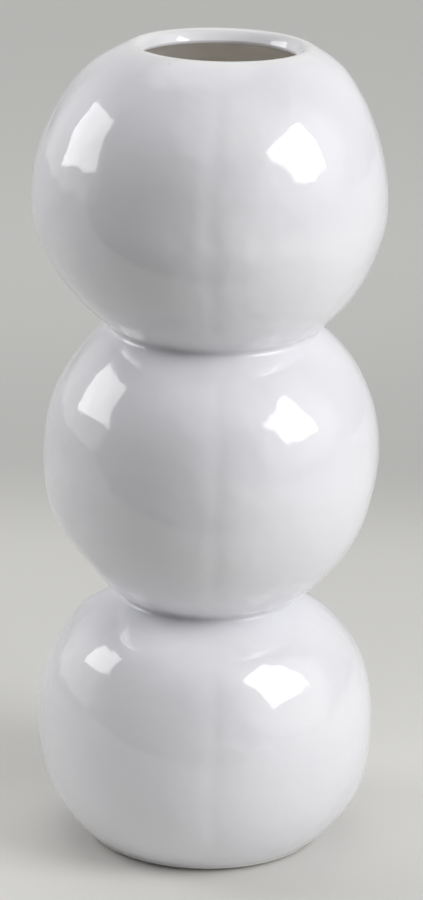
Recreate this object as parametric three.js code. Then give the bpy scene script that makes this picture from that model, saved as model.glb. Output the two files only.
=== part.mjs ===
// A tall ceramic vase of three hollow globes, stacked and luted together with rings of joining clay.
// Millimetres, +Z up. The vase stands on z = 0, with the origin under the middle of its footprint.
import * as THREE from "three";

// Driving dimensions.
const WALL = 7;

// Each globe has a widest radius, and a curve that reaches a rise above the widest ring and a drop below it.
// The power of a curve is 2 for an ellipse, more for squarer shoulders and less for more pointed ones.
const BOTTOM_RADIUS = 78;
const BOTTOM_RISE = 67.5;
const BOTTOM_RISE_POWER = 2.3;
const BOTTOM_DROP = 69.5;
const BOTTOM_DROP_POWER = 2.3;

const MIDDLE_RADIUS = 77;
const MIDDLE_RISE = 75;
const MIDDLE_RISE_POWER = 2.2;
const MIDDLE_DROP = 77;
const MIDDLE_DROP_POWER = 1.95;

const TOP_RADIUS = 80;
const TOP_RISE = 81;
const TOP_RISE_POWER = 2.3;
const TOP_DROP = 71.5;
const TOP_DROP_POWER = 1.78;
const TOP_BELLY_SHIFT = -3.5;

// The foot: a flat ring with a rounded edge, round a shallow recess under the floor.
const FOOT_RADIUS = 51.5;
const FOOT_EDGE = 3.5;
const FOOT_RING_WIDTH = 7;
const FOOT_RECESS = 2.5;
const FLOOR_THICKNESS = 8;

// The joints: flat seats that end at an outer seat radius, with a round neck cut through the middle.
const JOINT_HEIGHT = 4;
const LOWER_SEAT_RADIUS = 42;
const LOWER_NECK_RADIUS = 29;
const UPPER_SEAT_RADIUS = 49;
const UPPER_NECK_RADIUS = 38.5;

// The mouth: a short upright face, and a lip that rounds over from the outside of the top globe to that face.
const MOUTH_RADIUS = 34;
const MOUTH_FACE = 2;
const LIP_WIDTH = 7.5;
const LIP_FULLNESS = 0.4;

// How finely the round surfaces are divided.
const TURN_STEPS = 40;
const CURVE_STEPS = 8;
const INNER_STEPS = 6;
const FILLET_STEPS = 3;
const LIP_STEPS = 6;

const GLAZE = { color: 0xf0f0f1, roughness: 0.12, metalness: 0 };

// Heights of faces that meet lie on a fine binary grid, so that they agree exactly in 32-bit numbers.
const GRID = 256;
const onGrid = (height) => Math.round(height * GRID) / GRID;

// One half of a globe's outline, from the widest ring towards a pole, as a superellipse.
class GlobeCurve {
  constructor(radius, reach, power) {
    this.radius = radius;
    this.reach = reach;
    this.power = power;
  }

  // Distance from the plane of the widest ring to the outer surface at a given radius.
  heightAt(radius) {
    return this.reach * (1 - (radius / this.radius) ** this.power) ** (1 / this.power);
  }

  // The outward direction of the outer surface at an angle from the widest ring.
  normalAt(angle) {
    const steepness = 2 - 2 / this.power;
    const across = Math.cos(angle) ** steepness / this.radius;
    const along = Math.sin(angle) ** steepness / this.reach;
    return new THREE.Vector2(across, along).normalize();
  }

  // The point at an angle, sunk into the wall by a depth. Its y is the distance from the widest ring.
  pointAt(angle, depth) {
    const across = this.radius * Math.cos(angle) ** (2 / this.power);
    const along = this.reach * Math.sin(angle) ** (2 / this.power);
    return new THREE.Vector2(across, along).addScaledVector(this.normalAt(angle), -depth);
  }

  // The angle at which a measure of the sunk curve, falling towards the pole, reaches a value.
  angleWhere(measure, value, depth) {
    let low = 0;
    let high = Math.PI / 2;
    for (let halving = 0; halving < 50; halving += 1) {
      const middle = (low + high) / 2;
      if (measure(this.pointAt(middle, depth)) > value) low = middle;
      else high = middle;
    }
    return (low + high) / 2;
  }

  angleAtRadius(radius, depth) {
    return this.angleWhere((point) => point.x, radius, depth);
  }

  angleAtHeight(height, depth) {
    return this.angleWhere((point) => -point.y, -height, depth);
  }

  // Evenly spaced points from the widest ring to an end angle.
  pointsTo(endAngle, depth, steps) {
    return Array.from({ length: steps + 1 }, (_, step) => this.pointAt((endAngle * step) / steps, depth));
  }

  // How far the radius changes for each millimetre of height, at a given radius of the outer surface.
  spreadAt(radius) {
    const normal = this.normalAt(this.angleAtRadius(radius, 0));
    return normal.y / normal.x;
  }
}

const bottomRise = new GlobeCurve(BOTTOM_RADIUS, BOTTOM_RISE, BOTTOM_RISE_POWER);
const bottomDrop = new GlobeCurve(BOTTOM_RADIUS, BOTTOM_DROP, BOTTOM_DROP_POWER);
const middleRise = new GlobeCurve(MIDDLE_RADIUS, MIDDLE_RISE, MIDDLE_RISE_POWER);
const middleDrop = new GlobeCurve(MIDDLE_RADIUS, MIDDLE_DROP, MIDDLE_DROP_POWER);
const topRise = new GlobeCurve(TOP_RADIUS, TOP_RISE, TOP_RISE_POWER);
const topDrop = new GlobeCurve(TOP_RADIUS, TOP_DROP, TOP_DROP_POWER);

// Heights of the widest rings above the foot or the lower seat of their own globe, and of the upper seats.
const bottomBelly = onGrid(bottomDrop.heightAt(FOOT_RADIUS));
const bottomHeight = onGrid(bottomBelly + bottomRise.heightAt(LOWER_SEAT_RADIUS));
const middleBelly = onGrid(middleDrop.heightAt(LOWER_SEAT_RADIUS));
const middleHeight = onGrid(middleBelly + middleRise.heightAt(UPPER_SEAT_RADIUS));
const topBelly = onGrid(topDrop.heightAt(UPPER_SEAT_RADIUS));
const jointHeight = onGrid(JOINT_HEIGHT);

const lowerJoint = { seatRadius: LOWER_SEAT_RADIUS, neckRadius: LOWER_NECK_RADIUS };
const upperJoint = { seatRadius: UPPER_SEAT_RADIUS, neckRadius: UPPER_NECK_RADIUS };

// Places a curve's points over or under a widest ring at a given height.
const above = (belly) => (points) => points.map((point) => new THREE.Vector2(point.x, belly + point.y));
const below = (belly) => (points) => points.map((point) => new THREE.Vector2(point.x, belly - point.y));

// The wall of one half of a globe, inside and out, from the widest ring to a flat seat round a neck.
// The inside ends where the neck is cut, or at the seat if the curve comes to that first.
function seatedHalf(curve, place, { seatRadius, neckRadius }, seatHeight) {
  const outer = place(curve.pointsTo(curve.angleAtRadius(seatRadius, 0), 0, CURVE_STEPS));
  const neckAngle = curve.angleAtRadius(neckRadius, WALL);
  const seatAngle = curve.angleAtHeight(curve.heightAt(seatRadius), WALL);
  const inner = place(curve.pointsTo(Math.min(neckAngle, seatAngle), WALL, INNER_STEPS));
  outer.at(-1).y = seatHeight;
  if (neckAngle < seatAngle) inner.push(new THREE.Vector2(neckRadius, seatHeight));
  inner.at(-1).y = seatHeight;
  return { outer, inner };
}

// Turns a profile of radius and height about the Z axis.
function turned(profile) {
  const geometry = new THREE.LatheGeometry(profile, TURN_STEPS);
  geometry.rotateX(Math.PI / 2);
  return geometry;
}

function piece(name, geometry, height) {
  const mesh = new THREE.Mesh(geometry, new THREE.MeshStandardMaterial(GLAZE));
  mesh.name = name;
  mesh.position.z = height;
  return mesh;
}

// The bottom globe: the foot, the outside up to the lower joint, then the inside down to the floor.
function bottomGlobe() {
  const upper = seatedHalf(bottomRise, above(bottomBelly), lowerJoint, bottomHeight);
  const edgeAngle = bottomDrop.angleAtHeight(bottomBelly - FOOT_EDGE, 0);
  const outside = below(bottomBelly)(bottomDrop.pointsTo(edgeAngle, 0, CURVE_STEPS)).reverse();
  const floorAngle = bottomDrop.angleAtHeight(bottomBelly - FLOOR_THICKNESS, WALL);
  const inside = below(bottomBelly)(bottomDrop.pointsTo(floorAngle, WALL, INNER_STEPS));
  const contactRadius = FOOT_RADIUS - FOOT_EDGE;
  const edge = new THREE.QuadraticBezierCurve(
    new THREE.Vector2(contactRadius, 0),
    new THREE.Vector2(FOOT_RADIUS, 0),
    outside[0],
  ).getPoints(FILLET_STEPS);
  const recessRadius = contactRadius - FOOT_RING_WIDTH;
  return turned([
    new THREE.Vector2(0, FOOT_RECESS),
    new THREE.Vector2(recessRadius - FOOT_RECESS, FOOT_RECESS),
    new THREE.Vector2(recessRadius, 0),
    ...edge,
    ...outside.slice(1),
    ...upper.outer.slice(1),
    ...upper.inner.toReversed(),
    ...inside.slice(1),
    new THREE.Vector2(0, FLOOR_THICKNESS),
  ]);
}

function middleGlobe() {
  const upper = seatedHalf(middleRise, above(middleBelly), upperJoint, middleHeight);
  const lower = seatedHalf(middleDrop, below(middleBelly), lowerJoint, 0);
  return turned([
    ...lower.outer.toReversed(),
    ...upper.outer.slice(1),
    ...upper.inner.toReversed(),
    ...lower.inner.slice(1),
    lower.outer.at(-1),
  ]);
}

// The lip: leaves the outside along its slope and comes down upright on the mouth's face.
// Its fullness is the share of its width that each end runs on before it turns.
function lipCurve(outerEnd, outerNormal, innerEnd) {
  const easing = LIP_FULLNESS * LIP_WIDTH;
  const faceTop = new THREE.Vector2(innerEnd.x, innerEnd.y + MOUTH_FACE);
  const upSlope = new THREE.Vector2(-outerNormal.y, outerNormal.x);
  return new THREE.CubicBezierCurve(
    outerEnd,
    outerEnd.clone().addScaledVector(upSlope, easing),
    new THREE.Vector2(faceTop.x, faceTop.y + easing),
    faceTop,
  );
}

// The top globe: the outside from the upper joint to the lip, then the inside from the mouth down to the neck.
function topGlobe() {
  const lower = seatedHalf(topDrop, below(topBelly), upperJoint, 0);
  const lipAngle = topRise.angleAtRadius(MOUTH_RADIUS + LIP_WIDTH, 0);
  const mouthAngle = topRise.angleAtRadius(MOUTH_RADIUS, WALL);
  const outside = above(topBelly)(topRise.pointsTo(lipAngle, 0, CURVE_STEPS));
  const inside = above(topBelly)(topRise.pointsTo(mouthAngle, WALL, INNER_STEPS));
  const lip = lipCurve(outside.at(-1), topRise.normalAt(lipAngle), inside.at(-1)).getPoints(LIP_STEPS);
  const geometry = turned([
    ...lower.outer.toReversed(),
    ...outside.slice(1),
    ...lip.slice(1),
    ...inside.toReversed(),
    ...lower.inner.slice(1),
    lower.outer.at(-1),
  ]);
  shiftBelly(geometry, Math.max(...lip.map((point) => point.y)));
  return geometry;
}

// Moves the top globe's belly sideways, easing out to nothing at its seat and at its lip.
function shiftBelly(geometry, height) {
  const places = geometry.getAttribute("position");
  for (let index = 0; index < places.count; index += 1) {
    const rise = places.getZ(index) - topBelly;
    const share = rise > 0 ? rise / (height - topBelly) : rise / topBelly;
    places.setX(index, places.getX(index) + TOP_BELLY_SHIFT * (1 - share ** 2));
  }
}

// A ring of joining clay: flat faces on both seats, the neck inside, and a hollow fillet outside that leaves
// each globe along its own slope.
function jointRing(curveBelow, curveAbove, { seatRadius, neckRadius }) {
  const spreadBelow = curveBelow.spreadAt(seatRadius);
  const spreadAbove = curveAbove.spreadAt(seatRadius);
  const creaseHeight = (jointHeight * spreadAbove) / (spreadBelow + spreadAbove);
  const fillet = new THREE.QuadraticBezierCurve(
    new THREE.Vector2(seatRadius, 0),
    new THREE.Vector2(seatRadius - creaseHeight * spreadBelow, creaseHeight),
    new THREE.Vector2(seatRadius, jointHeight),
  ).getPoints(2 * FILLET_STEPS);
  return turned([
    ...fillet,
    new THREE.Vector2(neckRadius, jointHeight),
    new THREE.Vector2(neckRadius, 0),
    fillet[0],
  ]);
}

const lowerJointPlace = bottomHeight;
const middlePlace = lowerJointPlace + jointHeight;
const upperJointPlace = middlePlace + middleHeight;
const topPlace = upperJointPlace + jointHeight;

const stack = new THREE.Group();
stack.add(piece("bottom_globe", bottomGlobe(), 0));
stack.add(piece("lower_joint_ring", jointRing(bottomRise, middleDrop, lowerJoint), lowerJointPlace));
stack.add(piece("middle_globe", middleGlobe(), middlePlace));
stack.add(piece("upper_joint_ring", jointRing(middleRise, topDrop, upperJoint), upperJointPlace));
stack.add(piece("top_globe", topGlobe(), topPlace));

// The belly's shift moves the footprint to one side, so the stack moves back over the origin.
const footprint = new THREE.Box3().setFromObject(stack, true);
stack.position.x = -(footprint.min.x + footprint.max.x) / 2;

const vase = new THREE.Group();
vase.name = "globe_vase";
vase.add(stack);

export default vase;
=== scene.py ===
"""A tall white vase of three glazed globes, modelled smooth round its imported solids. Metres, +Z up."""

import math

import bmesh
import bpy
from mathutils import Matrix, Vector, noise


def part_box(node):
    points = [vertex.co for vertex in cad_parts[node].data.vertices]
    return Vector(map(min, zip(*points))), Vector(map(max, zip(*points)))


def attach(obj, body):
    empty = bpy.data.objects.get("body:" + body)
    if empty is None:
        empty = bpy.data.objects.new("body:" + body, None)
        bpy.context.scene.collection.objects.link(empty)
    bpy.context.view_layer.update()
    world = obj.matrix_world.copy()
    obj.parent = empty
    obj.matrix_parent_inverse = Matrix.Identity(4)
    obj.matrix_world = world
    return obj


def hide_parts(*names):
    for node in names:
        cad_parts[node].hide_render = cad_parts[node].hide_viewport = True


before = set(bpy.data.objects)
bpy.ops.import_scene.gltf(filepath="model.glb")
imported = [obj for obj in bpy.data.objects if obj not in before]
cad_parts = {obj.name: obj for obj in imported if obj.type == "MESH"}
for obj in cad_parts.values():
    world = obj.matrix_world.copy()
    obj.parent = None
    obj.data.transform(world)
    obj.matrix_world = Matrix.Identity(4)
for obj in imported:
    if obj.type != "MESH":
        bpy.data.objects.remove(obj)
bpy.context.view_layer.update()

# The clay: wall, necks, mouth and foot.
# The foot's edge flares a little above a shadow gap, and the ring that it stands on is set in under it.
WALL = 0.007
LOWER_NECK_RADIUS = 0.029
UPPER_NECK_RADIUS = 0.0385
MOUTH_RADIUS = 0.0348
MOUTH_EDGE = 0.004
MOUTH_FACE = 0.0023
LIP_WIDTH = 0.0067
LIP_FULLNESS = 0.6
LIP_SLOPE = Vector((0.0017, 0.0036))
FOOT_RADIUS = 0.0515
FOOT_EDGE = 0.0009
FOOT_FLARE = 0.0009
FOOT_GAP = 0.0014
FOOT_UNDERCUT = 0.0035
FOOT_RING_WIDTH = 0.007
FOOT_RECESS = 0.0025
FLOOR_THICKNESS = 0.008

# How far each globe's curve reaches above and below its widest ring, and how square its shoulders are.
BOTTOM_RISE, BOTTOM_RISE_POWER = 0.0675, 2.3
BOTTOM_DROP, BOTTOM_DROP_POWER = 0.0695, 2.3
MIDDLE_RISE, MIDDLE_RISE_POWER = 0.075, 2.2
MIDDLE_DROP, MIDDLE_DROP_POWER = 0.077, 1.95
TOP_RISE, TOP_RISE_POWER = 0.081, 2.3
TOP_DROP, TOP_DROP_POWER = 0.0715, 1.78
TOP_BELLY_SHIFT = -0.0035

# How finely the round surfaces are divided, and what counts as one point or as a sharp edge.
TURN_STEPS = 256
OUTER_STEPS = 30
INNER_STEPS = 20
FILLET_STEPS = 20
LIP_STEPS = 18
SEARCH_STEPS = 50
MERGE_DISTANCE = 1e-7
SHARP_ANGLE = math.radians(20)

# Hand work: slow lumps and smaller dimples in the walls, for each globe from its own place in the noise,
# a fuller front on the bottom globe's shoulder, a dip at the front of the upper joint, and a shallow groove
# along the mould's seam.
LUMP_HEIGHT, LUMP_LENGTH = 0.0006, 0.055
DIMPLE_HEIGHT, DIMPLE_LENGTH = 0.0003, 0.026
LUMP_FADE = 0.016
BOTTOM_LUMPS, MIDDLE_LUMPS, TOP_LUMPS = Vector((3, 0, 0)), Vector((11, 0, 0)), Vector((23, 0, 0))
SHOULDER_RING = Vector((0.058, 0.105))
SHOULDER_FULLNESS, SHOULDER_REACH = 0.0026, 0.02
JOINT_DIP, JOINT_DIP_REACH = 0.0016, 0.04
SEAM_DEPTH, SEAM_WIDTH = 0.00026, 0.0042
SEAM_FOOT, SEAM_LEAN = 0.0049, -0.0133

# Places where a hand left the wall full, or pressed it in (below zero), and how far round each one reaches.
HAND_MARKS = [
    (Vector((0.074, 0.002, 0.340)), -0.0013, 0.020),
    (Vector((0.054, 0.012, 0.367)), 0.0009, 0.013),
    (Vector((-0.050, 0.012, 0.367)), 0.0009, 0.015),
    (Vector((-0.080, 0.0, 0.317)), 0.0005, 0.018),
    (Vector((0.064, -0.016, 0.265)), 0.0006, 0.016),
    (Vector((-0.059, 0.014, 0.232)), -0.0008, 0.014),
    (Vector((-0.069, -0.011, 0.160)), 0.0007, 0.013),
    (Vector((-0.053, -0.019, 0.136)), -0.0018, 0.014),
    (Vector((0.079, -0.008, 0.172)), -0.0010, 0.015),
    (Vector((-0.054, 0.012, 0.107)), 0.0020, 0.014),
    (Vector((-0.075, -0.004, 0.060)), 0.0009, 0.014),
    (Vector((-0.072, -0.011, 0.035)), -0.0005, 0.012),
    (Vector((0.074, -0.016, 0.026)), 0.0011, 0.014),
    (Vector((0.038, -0.057, 0.096)), -0.0014, 0.021),
]


class GlobeCurve:
    """One half of a globe's outline, a superellipse from the widest ring towards a pole."""

    def __init__(self, radius, reach, power):
        self.radius = radius
        self.reach = reach
        self.power = power

    def height_at(self, radius):
        return self.reach * (1 - (radius / self.radius) ** self.power) ** (1 / self.power)

    def normal_at(self, angle):
        steepness = 2 - 2 / self.power
        across = math.cos(angle) ** steepness / self.radius
        along = math.sin(angle) ** steepness / self.reach
        return Vector((across, along)).normalized()

    def point_at(self, angle, depth):
        """The point at an angle, sunk into the wall by a depth: radius, and height off the widest ring."""
        across = self.radius * math.cos(angle) ** (2 / self.power)
        along = self.reach * math.sin(angle) ** (2 / self.power)
        return Vector((across, along)) - depth * self.normal_at(angle)

    def angle_where(self, passed, depth):
        """The angle from the widest ring at which a test on the sunk curve first comes true."""
        low, high = 0.0, math.pi / 2
        for _ in range(SEARCH_STEPS):
            middle = (low + high) / 2
            if passed(self.point_at(middle, depth)):
                high = middle
            else:
                low = middle
        return (low + high) / 2

    def angle_at_radius(self, radius, depth):
        return self.angle_where(lambda point: point.x < radius, depth)

    def angle_at_height(self, height, depth):
        return self.angle_where(lambda point: point.y > height, depth)

    def points_to(self, end_angle, depth, steps):
        return [self.point_at(end_angle * step / steps, depth) for step in range(steps + 1)]

    def spread_at(self, radius):
        """How far the radius changes for each metre of height on the outer surface."""
        normal = self.normal_at(self.angle_at_radius(radius, 0))
        return normal.y / normal.x


class Joint:
    """A ring of joining clay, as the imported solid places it."""

    def __init__(self, node):
        low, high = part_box(node)
        self.node = node
        self.axis = (low[0] + high[0]) / 2
        self.radius = (high[1] - low[1]) / 2
        self.low = low[2]
        self.high = high[2]
        self.middle = (self.low + self.high) / 2


def globe_radius(node):
    low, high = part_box(node)
    return (high[1] - low[1]) / 2


LOWER_JOINT = Joint("lower_joint_ring")
UPPER_JOINT = Joint("upper_joint_ring")
STACK_AXIS = LOWER_JOINT.axis
LIP_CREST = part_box("top_globe")[1][2]

bottom_rise = GlobeCurve(globe_radius("bottom_globe"), BOTTOM_RISE, BOTTOM_RISE_POWER)
bottom_drop = GlobeCurve(globe_radius("bottom_globe"), BOTTOM_DROP, BOTTOM_DROP_POWER)
middle_rise = GlobeCurve(globe_radius("middle_globe"), MIDDLE_RISE, MIDDLE_RISE_POWER)
middle_drop = GlobeCurve(globe_radius("middle_globe"), MIDDLE_DROP, MIDDLE_DROP_POWER)
top_rise = GlobeCurve(globe_radius("top_globe"), TOP_RISE, TOP_RISE_POWER)
top_drop = GlobeCurve(globe_radius("top_globe"), TOP_DROP, TOP_DROP_POWER)

BOTTOM_BELLY = bottom_drop.height_at(FOOT_RADIUS)
MIDDLE_BELLY = LOWER_JOINT.high + middle_drop.height_at(LOWER_JOINT.radius)
TOP_BELLY = UPPER_JOINT.high + top_drop.height_at(UPPER_JOINT.radius)


def above(belly, points):
    """Half an outline, set up from the widest ring."""
    return [Vector((point.x, belly + point.y)) for point in points]


def below(belly, points):
    """Half an outline, hung down from the widest ring."""
    return [Vector((point.x, belly - point.y)) for point in points]


def bend(points, steps):
    """A smooth curve from the first point to the last, drawn towards the points between (Bezier)."""
    curve = []
    for step in range(steps + 1):
        hull = points
        while len(hull) > 1:
            hull = [near.lerp(far, step / steps) for near, far in zip(hull, hull[1:])]
        curve.append(hull[0])
    return curve


def seated_half(curve, place, belly, joint, seat_height, neck_radius):
    """The outside and the inside of half a globe, from its widest ring to its seat on a joint."""
    outer = place(belly, curve.points_to(curve.angle_at_radius(joint.radius, 0), 0, OUTER_STEPS))
    neck_angle = curve.angle_at_radius(neck_radius, WALL)
    seat_angle = curve.angle_at_height(curve.height_at(joint.radius), WALL)
    inner = place(belly, curve.points_to(min(neck_angle, seat_angle), WALL, INNER_STEPS))
    if neck_angle < seat_angle:
        inner.append(Vector((neck_radius, seat_height)))
    outer[-1].y = seat_height
    inner[-1].y = seat_height
    return outer, inner


def turned(outside, inside, closed):
    """Spins an outline of radius and height once round the stack's axis, and marks its inner wall."""
    mesh = bmesh.new()
    inner_wall = mesh.verts.layers.float.new("inner_wall")
    points = [mesh.verts.new((STACK_AXIS + point.x, 0, point.y)) for point in [*outside, *inside]]
    for point in points[len(outside):]:
        point[inner_wall] = 1.0
    pairs = list(zip(points, points[1:]))
    if closed:
        pairs.append((points[-1], points[0]))
    edges = [mesh.edges.new(pair) for pair in pairs]
    bmesh.ops.spin(
        mesh,
        geom=points + edges,
        cent=(STACK_AXIS, 0, 0),
        axis=(0, 0, 1),
        angle=math.tau,
        steps=TURN_STEPS,
        use_merge=True,
    )
    bmesh.ops.remove_doubles(mesh, verts=mesh.verts[:], dist=MERGE_DISTANCE)
    bmesh.ops.recalc_face_normals(mesh, faces=mesh.faces[:])
    return mesh


def eased(share):
    """Takes a share smoothly from 0 to 1, and holds it there outside that range."""
    share = min(max(share, 0.0), 1.0)
    return share * share * (3 - 2 * share)


def bell(distance, reach):
    """Falls smoothly from 1 at no distance to nothing well past the reach."""
    return math.exp(-((distance / reach) ** 2))


def hand_finish(mesh, belly, low, high, noise_start):
    """Gives a globe its lumps, shoulder, marks and seam, easing out to nothing at the low and high ends."""
    centre = Vector((STACK_AXIS, 0, belly))
    for vert in mesh.verts:
        fade = eased((vert.co.z - low) / LUMP_FADE) * eased((high - vert.co.z) / LUMP_FADE)
        outward = (vert.co - centre).normalized()
        lump = LUMP_HEIGHT * noise.noise(vert.co / LUMP_LENGTH + noise_start)
        lump += DIMPLE_HEIGHT * noise.noise(vert.co / DIMPLE_LENGTH + noise_start)
        ring = Vector((math.hypot(vert.co.x - STACK_AXIS, vert.co.y), vert.co.z))
        facing = eased(-vert.co.y / SHOULDER_RING.x)
        lump += SHOULDER_FULLNESS * facing * bell((ring - SHOULDER_RING).length, SHOULDER_REACH)
        for place, swell, reach in HAND_MARKS:
            lump += swell * bell((vert.co - place).length, reach)
        seam = STACK_AXIS + SEAM_FOOT + SEAM_LEAN * vert.co.z
        lump -= SEAM_DEPTH * bell(vert.co.x - seam, SEAM_WIDTH)
        vert.co += lump * fade * outward


def dip_upper_joint(mesh):
    """Sinks the front of the upper joint and lifts its back, together with the globes next to it."""
    for vert in mesh.verts:
        fade = 1 - eased(abs(vert.co.z - UPPER_JOINT.middle) / JOINT_DIP_REACH)
        vert.co.z += JOINT_DIP * fade * vert.co.y / UPPER_JOINT.radius


def shift_belly(mesh):
    """Moves the top globe's belly sideways, easing out to nothing at its seat and at its lip."""
    for vert in mesh.verts:
        rise = vert.co.z - TOP_BELLY
        share = rise / (LIP_CREST - TOP_BELLY) if rise > 0 else rise / (TOP_BELLY - UPPER_JOINT.high)
        vert.co.x += TOP_BELLY_SHIFT * (1 - share**2)


def placed(name, data):
    """Makes an object of a mesh, a lamp or a camera, and puts it in the scene."""
    piece = bpy.data.objects.new(name, data)
    bpy.context.scene.collection.objects.link(piece)
    return piece


def covered(name, mesh, material):
    """Makes an object of a finished bmesh, all in one material."""
    data = bpy.data.meshes.new(name)
    mesh.to_mesh(data)
    mesh.free()
    data.materials.append(material)
    return placed(name, data)


def finished_piece(name, mesh, node, material):
    """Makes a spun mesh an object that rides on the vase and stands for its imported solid."""
    dip_upper_joint(mesh)
    for face in mesh.faces:
        face.smooth = True
    for edge in mesh.edges:
        edge.smooth = edge.calc_face_angle(0.0) < SHARP_ANGLE
    piece = covered(name, mesh, material)
    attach(piece, "root")
    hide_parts(node)


def bottom_globe(material):
    """From the foot's recess out over its ring and edge, up to the seat, and down the inside to the floor."""
    outer, inner = seated_half(
        bottom_rise, above, BOTTOM_BELLY, LOWER_JOINT, LOWER_JOINT.low, LOWER_NECK_RADIUS
    )
    edge_angle = bottom_drop.angle_at_height(BOTTOM_BELLY - FOOT_GAP - FOOT_EDGE, 0)
    below_belly = below(BOTTOM_BELLY, bottom_drop.points_to(edge_angle, 0, OUTER_STEPS))[::-1]
    floor_angle = bottom_drop.angle_at_height(BOTTOM_BELLY - FLOOR_THICKNESS, WALL)
    inner_below = below(BOTTOM_BELLY, bottom_drop.points_to(floor_angle, WALL, INNER_STEPS))
    heel_angle = bottom_drop.angle_at_height(BOTTOM_BELLY - FOOT_GAP, 0)
    heel = Vector((bottom_drop.point_at(heel_angle, 0).x + FOOT_FLARE, FOOT_GAP))
    edge = bend([heel - Vector((FOOT_EDGE, 0)), heel, below_belly[0]], FILLET_STEPS)
    contact = FOOT_RADIUS - FOOT_UNDERCUT
    recess = contact - FOOT_RING_WIDTH
    recess_wall = [Vector((recess - FOOT_RECESS, FOOT_RECESS)), Vector((recess, 0))]
    foot = [Vector((0, FOOT_RECESS)), *recess_wall, Vector((contact, 0))]
    outside = [*foot, *edge, *below_belly[1:], *outer[1:]]
    inside = [*inner[::-1], *inner_below[1:], Vector((0, FLOOR_THICKNESS))]
    mesh = turned(outside, inside, closed=False)
    hand_finish(mesh, BOTTOM_BELLY, FOOT_GAP + FOOT_EDGE, LOWER_JOINT.low, BOTTOM_LUMPS)
    finished_piece("bottom_globe_glazed", mesh, "bottom_globe", material)


def middle_globe(material):
    """From the lower seat up to the upper seat, and back down the inside."""
    upper_outer, upper_inner = seated_half(
        middle_rise, above, MIDDLE_BELLY, UPPER_JOINT, UPPER_JOINT.low, UPPER_NECK_RADIUS
    )
    lower_outer, lower_inner = seated_half(
        middle_drop, below, MIDDLE_BELLY, LOWER_JOINT, LOWER_JOINT.high, LOWER_NECK_RADIUS
    )
    outside = [*lower_outer[::-1], *upper_outer[1:]]
    inside = [*upper_inner[::-1], *lower_inner[1:]]
    mesh = turned(outside, inside, closed=True)
    hand_finish(mesh, MIDDLE_BELLY, LOWER_JOINT.high, UPPER_JOINT.low, MIDDLE_LUMPS)
    finished_piece("middle_globe_glazed", mesh, "middle_globe", material)


def lip_curve(outer_end, outer_normal, inner_end):
    """The lip: leaves the outside along its slope, rolls over, slopes into the mouth and turns under."""
    up_slope = Vector((-outer_normal.y, outer_normal.x))
    roll = outer_end + LIP_FULLNESS * LIP_WIDTH * up_slope
    face = Vector((MOUTH_RADIUS, inner_end.y + MOUTH_FACE))
    corner = Vector((MOUTH_RADIUS, inner_end.y))
    over = bend([outer_end, roll, face + LIP_SLOPE, face], LIP_STEPS)
    under = bend([face, corner, inner_end], LIP_STEPS)
    return [*over, *under[1:-1]]


def top_globe(material):
    """From the seat up to the lip, over it into the mouth, and back down the inside."""
    lower_outer, lower_inner = seated_half(
        top_drop, below, TOP_BELLY, UPPER_JOINT, UPPER_JOINT.high, UPPER_NECK_RADIUS
    )
    lip_angle = top_rise.angle_at_radius(MOUTH_RADIUS + LIP_WIDTH, 0)
    mouth_angle = top_rise.angle_at_radius(MOUTH_RADIUS + MOUTH_EDGE, WALL)
    upper_outer = above(TOP_BELLY, top_rise.points_to(lip_angle, 0, OUTER_STEPS))
    upper_inner = above(TOP_BELLY, top_rise.points_to(mouth_angle, WALL, INNER_STEPS))
    lip = lip_curve(upper_outer[-1], top_rise.normal_at(lip_angle), upper_inner[-1])
    outside = [*lower_outer[::-1], *upper_outer[1:], *lip[1:]]
    inside = [*upper_inner[::-1], *lower_inner[1:]]
    mesh = turned(outside, inside, closed=True)
    hand_finish(mesh, TOP_BELLY, UPPER_JOINT.high, LIP_CREST, TOP_LUMPS)
    shift_belly(mesh)
    finished_piece("top_globe_glazed", mesh, "top_globe", material)


def joint_ring(name, joint, curve_below, curve_above, neck_radius, material):
    """A ring of joining clay whose hollow outside leaves each globe along its own slope."""
    spread_below = curve_below.spread_at(joint.radius)
    spread_above = curve_above.spread_at(joint.radius)
    crease = (joint.high - joint.low) * spread_above / (spread_below + spread_above)
    corner = Vector((joint.radius - crease * spread_below, joint.low + crease))
    seats = [Vector((joint.radius, joint.low)), Vector((joint.radius, joint.high))]
    hollow = bend([seats[0], corner, seats[1]], FILLET_STEPS)
    neck = [Vector((neck_radius, joint.high)), Vector((neck_radius, joint.low))]
    finished_piece(name, turned(hollow, neck, closed=True), joint.node, material)


# Round spots: where they start to fade and are gone, in radii, and how soft the choice of their cells is.
SPOT_EDGE = (0.4, 1.4)
SPOT_CHANCE_EDGE = 0.02


class Value:
    """A number on a shader socket: Python operators on it add Math nodes."""

    def __init__(self, finish, socket):
        self.finish = finish
        self.socket = socket

    def combined(self, operation, first, second):
        return self.finish.node("ShaderNodeMath", {"operation": operation}, {0: first, 1: second})

    def __add__(self, other):
        return self.combined("ADD", self, other)

    __radd__ = __add__

    def __sub__(self, other):
        return self.combined("SUBTRACT", self, other)

    def __rsub__(self, other):
        return self.combined("SUBTRACT", other, self)

    def __mul__(self, other):
        return self.combined("MULTIPLY", self, other)

    __rmul__ = __mul__

    def __abs__(self):
        return self.combined("ABSOLUTE", self, 0.0)


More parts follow.
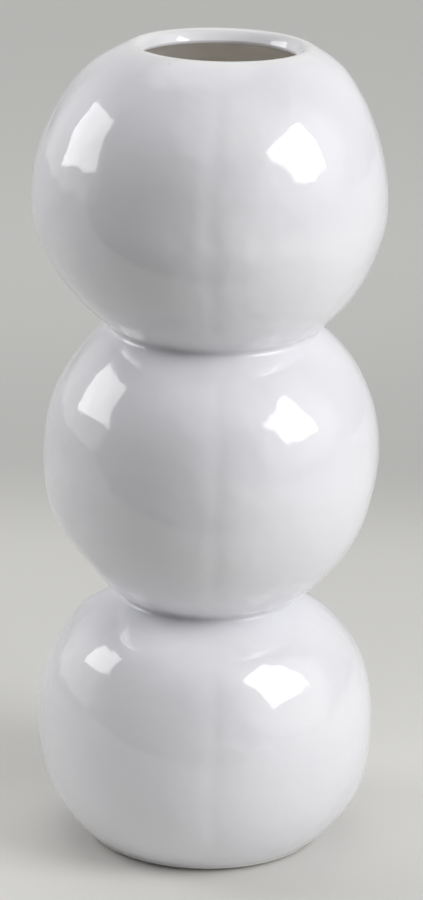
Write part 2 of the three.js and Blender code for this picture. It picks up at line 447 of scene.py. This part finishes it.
class Finish:
    """A node tree that is written as expressions."""

    def __init__(self, owner):
        owner.use_nodes = True
        self.tree = owner.node_tree
        self.tree.nodes.clear()

    def node(self, kind, settings, inputs, output=0):
        """Adds a node, sets it up, and gives back the value on one of its outputs."""
        added = self.tree.nodes.new(kind)
        for name, value in settings.items():
            setattr(added, name, value)
        for name, value in inputs.items():
            if isinstance(value, Value):
                self.tree.links.new(value.socket, added.inputs[name])
            else:
                added.inputs[name].default_value = value
        return Value(self, added.outputs[output]) if added.outputs else None

    def split(self, vector):
        parts = self.node("ShaderNodeSeparateXYZ", {}, {"Vector": vector}).socket.node.outputs
        return [Value(self, part) for part in parts]

    def ramp(self, value, low, high):
        """Rises smoothly from 0 to 1 as a value goes from low to high."""
        limits = {"Value": value, "From Min": low, "From Max": high}
        return self.node("ShaderNodeMapRange", {"interpolation_type": "SMOOTHSTEP"}, limits)

    def noise(self, place, length, detail):
        """Soft noise from 0 to 1 whose lumps are about one length across."""
        lumps = {"Vector": place, "Scale": 1 / length, "Detail": detail}
        return self.node("ShaderNodeTexNoise", {}, lumps)

    def spots(self, place, spacing, radius, share):
        """Round spots, each 1 in its middle, in a share of cells that are about one spacing across."""
        cells = {"Vector": place, "Scale": 1 / spacing}
        distance = self.node("ShaderNodeTexVoronoi", {}, cells, "Distance")
        chance, _, _ = self.split(self.node("ShaderNodeTexVoronoi", {}, cells, "Color"))
        inner, outer = (edge * radius / spacing for edge in SPOT_EDGE)
        spot = 1 - self.ramp(distance, inner, outer)
        return spot * self.ramp(chance, 1 - share, 1 - share + SPOT_CHANCE_EDGE)

    def mixed(self, share, first, second):
        settings = {"data_type": "RGBA"}
        return self.node("ShaderNodeMix", settings, {"Factor": share, "A": first, "B": second}, "Result")


# Glaze: a cool white that drifts a little and thins to cream on the lip, with painted shade greying it in the
# creases.
# Inside it is painted paler and warmer, as light bouncing in the hollow. It has a ripple, a fine peel,
# pinholes and blisters, and leaves the clay bare at the foot.
GLAZE_WHITE = (0.875, 0.872, 0.908, 1)
GLAZE_MILKY = (0.858, 0.857, 0.9, 1)
GLAZE_CREASE_SHADE = (0.81, 0.82, 0.85, 1)
GLAZE_THIN = (0.89, 0.885, 0.87, 1)
INSIDE_GLAZE_PAINTED_PALER = (0.945, 0.926, 0.895, 1)
BARE_CLAY = (0.66, 0.60, 0.52, 1)
PINHOLE = (0.45, 0.43, 0.40, 1)
DRIFT_LENGTH, DRIFT_DETAIL = 0.06, 3.0
DRIFT_RANGE = (0.35, 0.65)
CREASE_SHADE_REACH, CREASE_SHADE_SHARE = 0.007, 0.5
THIN_REACH, THIN_SHARE = 0.003, 0.7
BARE_HEIGHT = (0.0011, 0.0017)
GRAIN_LENGTH, GRAIN_DETAIL, GRAIN_HEIGHT = 0.0012, 2.0, 0.00015
SPOT_SHARE = 0.12
PINHOLE_SPACING, PINHOLE_RADIUS, PINHOLE_DEPTH, PINHOLE_DARKNESS = 0.018, 0.0005, 0.0001, 0.7
BLISTER_SPACING, BLISTER_RADIUS, BLISTER_HEIGHT = 0.03, 0.0022, 0.00003
RIPPLE_LENGTH, RIPPLE_HEIGHT = 0.012, 0.00045
PEEL_LENGTH, PEEL_HEIGHT = 0.004, 0.00001
WAVE_DETAIL = 1.0

# Gloss: the roughness of the glaze, and what its drift, the inside, a pinhole and bare clay add to it.
GLAZE_ROUGHNESS = 0.06
DRIFT_ROUGHNESS = 0.04
INSIDE_ROUGHNESS = 0.12
PINHOLE_ROUGHNESS = 0.3
CLAY_ROUGHNESS = 0.55
COAT_WEIGHT, COAT_ROUGHNESS = 0.25, 0.03


def white_glaze():
    material = bpy.data.materials.new("white_glaze")
    finish = Finish(material)
    place = finish.node("ShaderNodeTexCoord", {}, {}, "Object")
    inside = finish.node("ShaderNodeAttribute", {"attribute_name": "inner_wall"}, {}, "Fac")
    _, _, height = finish.split(place)
    drift = finish.noise(place, DRIFT_LENGTH, DRIFT_DETAIL)
    colour = finish.mixed(finish.ramp(drift, *DRIFT_RANGE), GLAZE_WHITE, GLAZE_MILKY)

    # Painted shade: a grey band darkens the glaze at each joint's crease.
    lower = abs(height - LOWER_JOINT.middle)
    upper = abs(height - UPPER_JOINT.middle)
    crease_shade = 2 - finish.ramp(lower, 0.0, CREASE_SHADE_REACH) - finish.ramp(upper, 0.0, CREASE_SHADE_REACH)
    colour = finish.mixed(crease_shade * CREASE_SHADE_SHARE, colour, GLAZE_CREASE_SHADE)
    thin = finish.ramp(height, LIP_CREST - THIN_REACH, LIP_CREST)
    colour = finish.mixed(thin * THIN_SHARE, colour, GLAZE_THIN)
    # Painted light: the inside is paler and warmer than the outside, standing in for light bouncing in the
    # hollow.
    colour = finish.mixed(inside, colour, INSIDE_GLAZE_PAINTED_PALER)

    pinhole = finish.spots(place, PINHOLE_SPACING, PINHOLE_RADIUS, SPOT_SHARE)
    blister = finish.spots(place, BLISTER_SPACING, BLISTER_RADIUS, SPOT_SHARE)
    colour = finish.mixed(pinhole * PINHOLE_DARKNESS, colour, PINHOLE)

    bare = 1 - finish.ramp(height, *BARE_HEIGHT)
    grain = finish.noise(place, GRAIN_LENGTH, GRAIN_DETAIL)
    colour = finish.mixed(bare, colour, finish.mixed(grain, BARE_CLAY, GLAZE_THIN))

    relief = finish.noise(place, RIPPLE_LENGTH, WAVE_DETAIL) * RIPPLE_HEIGHT
    relief = relief + finish.noise(place, PEEL_LENGTH, WAVE_DETAIL) * PEEL_HEIGHT
    relief = relief + blister * BLISTER_HEIGHT - pinhole * PINHOLE_DEPTH + bare * grain * GRAIN_HEIGHT
    normal = finish.node("ShaderNodeBump", {}, {"Height": relief, "Distance": 1.0}, "Normal")
    roughness = GLAZE_ROUGHNESS + DRIFT_ROUGHNESS * drift + INSIDE_ROUGHNESS * inside
    roughness = roughness + PINHOLE_ROUGHNESS * pinhole + CLAY_ROUGHNESS * bare
    shader = finish.node(
        "ShaderNodeBsdfPrincipled",
        {},
        {
            "Base Color": colour,
            "Roughness": roughness,
            "Normal": normal,
            "Coat Weight": COAT_WEIGHT - COAT_WEIGHT * bare,
            "Coat Roughness": COAT_ROUGHNESS,
        },
    )
    finish.node("ShaderNodeOutputMaterial", {}, {"Surface": shader})
    return material


def build_vase():
    glaze = white_glaze()
    bottom_globe(glaze)
    joint_ring("lower_joint_glazed", LOWER_JOINT, bottom_rise, middle_drop, LOWER_NECK_RADIUS, glaze)
    middle_globe(glaze)
    joint_ring("upper_joint_glazed", UPPER_JOINT, middle_rise, top_drop, UPPER_NECK_RADIUS, glaze)
    top_globe(glaze)


# The stage: a pale table before a pale sweep, two soft boxes, and a dark room with a few pale walls.
# The table turns into the sweep, and the sweep grows paler, over a range of depths behind the vase; that
# dim-to-pale sweep is painted light.
# Past the table's front the left side of the floor is painted dark, for all rays but the camera's own:
# painted shade for the dark room, seen in reflections and bounced light.
FLOOR_SIZE = 12.0
TABLE_PALE = (0.705, 0.7, 0.676, 1)
SWEEP_NEAR_PAINTED_DIM = (0.56, 0.557, 0.543, 1)
SWEEP_FAR_PAINTED_PALE = (0.775, 0.772, 0.75, 1)
TABLE_BACK = (0.38, 0.6)
SWEEP_FADE = (0.38, 1.2)
TABLE_FRONT, TABLE_EDGE = -0.25, 0.06
FRONT_PAINTED_DARK = (0.10, 0.10, 0.10, 1)
FRONT_FADE = (0.0, 0.45)
KEY_PLACE = Vector((0.96, -0.574, 0.762))
KEY_FACING = Vector((-0.735, -0.122, -0.667))
KEY_WIDTH, KEY_HEIGHT = 0.68, 0.64
KEY_ROLL = -0.09
KEY_BRIGHTNESS = 5.7
FILL_PLACE = Vector((-1.148, 0.193, 0.814))
FILL_FACING = Vector((0.943, -0.317, 0.106))
FILL_WIDTH, FILL_HEIGHT = 0.72, 0.72
FILL_ROLL = 0.264
FILL_BRIGHTNESS = 3.9
ROOM_COLOUR = (1, 1, 1, 1)
BACKDROP_BRIGHTNESS = 0.5
# Pale walls to the right, to the left, behind the vase and high in front of it, and the ceiling behind it.
# Each: the way to its middle, the angles from there at which it starts to fade and is gone, its brightness.
PALE_WALLS = [
    (Vector((0.862, -0.348, 0.374)), math.radians(14), math.radians(40), 1.27),
    (Vector((-0.904, 0.415, 0.102)), math.radians(16), math.radians(42), 1.05),
    (Vector((0.131, 0.893, 0.434)), math.radians(16), math.radians(51), 0.68),
    (Vector((0.041, -0.52, 0.853)), math.radians(13), math.radians(38), 0.86),
    (Vector((-0.1, 0.3, 0.95)), math.radians(8), math.radians(26), 1.35),
]


def floor():
    mesh = bmesh.new()
    bmesh.ops.create_grid(mesh, x_segments=1, y_segments=1, size=FLOOR_SIZE / 2)
    material = bpy.data.materials.new("floor")
    finish = Finish(material)
    across, depth, _ = finish.split(finish.node("ShaderNodeTexCoord", {}, {}, "Object"))
    # Painted light: the sweep is dimmer near and paler far, set against how the lamps fall off over the
    # floor.
    sweep = finish.mixed(finish.ramp(depth, *SWEEP_FADE), SWEEP_NEAR_PAINTED_DIM, SWEEP_FAR_PAINTED_PALE)
    pale = finish.mixed(finish.ramp(depth, *TABLE_BACK), TABLE_PALE, sweep)
    # Painted shade: past the table's front on the left the floor is dark to all rays but the camera's, for
    # the dark room.
    painted_dark_front = 1 - finish.ramp(depth, TABLE_FRONT - TABLE_EDGE, TABLE_FRONT)
    painted_dark_front = painted_dark_front * (1 - finish.ramp(across, *FRONT_FADE))
    seen = finish.node("ShaderNodeLightPath", {}, {}, "Is Camera Ray")
    colour = finish.mixed((1 - seen) * painted_dark_front, pale, FRONT_PAINTED_DARK)
    shader = finish.node("ShaderNodeBsdfDiffuse", {}, {"Color": colour})
    finish.node("ShaderNodeOutputMaterial", {}, {"Surface": shader})
    piece = covered("floor", mesh, material)


def soft_box(name, place, facing, width, height, roll, brightness):
    lamp = bpy.data.lights.new(name, "AREA")
    lamp.shape = "RECTANGLE"
    lamp.size = width
    lamp.size_y = height
    lamp.energy = brightness * math.pi * width * height
    turn = facing.to_track_quat("-Z", "Y").to_matrix().to_4x4()
    placed(name, lamp).matrix_world = Matrix.Translation(place) @ turn @ Matrix.Rotation(roll, 4, "Z")


def room():
    """A dark room that the pale walls light, with a plain grey backdrop for the camera."""
    world = bpy.data.worlds.new("room")
    bpy.context.scene.world = world
    finish = Finish(world)
    direction = finish.node("ShaderNodeTexCoord", {}, {}, "Generated")
    strength = 0.0
    for middle, bright_angle, dark_angle, brightness in PALE_WALLS:
        ways = {0: direction, 1: middle}
        nearness = finish.node("ShaderNodeVectorMath", {"operation": "DOT_PRODUCT"}, ways, "Value")
        glow = finish.ramp(nearness, math.cos(dark_angle), math.cos(bright_angle))
        strength = strength + brightness * glow
    seen = finish.node("ShaderNodeLightPath", {}, {}, "Is Camera Ray")
    strength = strength + seen * (BACKDROP_BRIGHTNESS - strength)
    shader = finish.node("ShaderNodeBackground", {}, {"Color": ROOM_COLOUR, "Strength": strength})
    finish.node("ShaderNodeOutputWorld", {}, {"Surface": shader})


# The camera stands where the photograph's did, above the mouth and looking down.
CAMERA_DISTANCE = 1.562
CAMERA_HEIGHT = 0.6753
CAMERA_PITCH = math.radians(17.38)
CAMERA_ROLL = math.radians(1.4)
CAMERA_LENS = 142.7


def camera():
    data = bpy.data.cameras.new("camera")
    data.lens = CAMERA_LENS
    piece = placed("camera", data)
    place = Matrix.Translation((STACK_AXIS, -CAMERA_DISTANCE, CAMERA_HEIGHT))
    tilt = Matrix.Rotation(math.pi / 2 - CAMERA_PITCH, 4, "X")
    piece.matrix_world = place @ tilt @ Matrix.Rotation(CAMERA_ROLL, 4, "Z")
    bpy.context.scene.camera = piece


# White walls pass light on many times inside the vase and between its globes.
WHITE_WALL_BOUNCES = 16

bpy.context.scene.view_settings.view_transform = "Standard"
bpy.context.scene.cycles.max_bounces = WHITE_WALL_BOUNCES
bpy.context.scene.cycles.diffuse_bounces = WHITE_WALL_BOUNCES
camera()
build_vase()
floor()
soft_box("key_light", KEY_PLACE, KEY_FACING, KEY_WIDTH, KEY_HEIGHT, KEY_ROLL, KEY_BRIGHTNESS)
soft_box("fill_light", FILL_PLACE, FILL_FACING, FILL_WIDTH, FILL_HEIGHT, FILL_ROLL, FILL_BRIGHTNESS)
room()
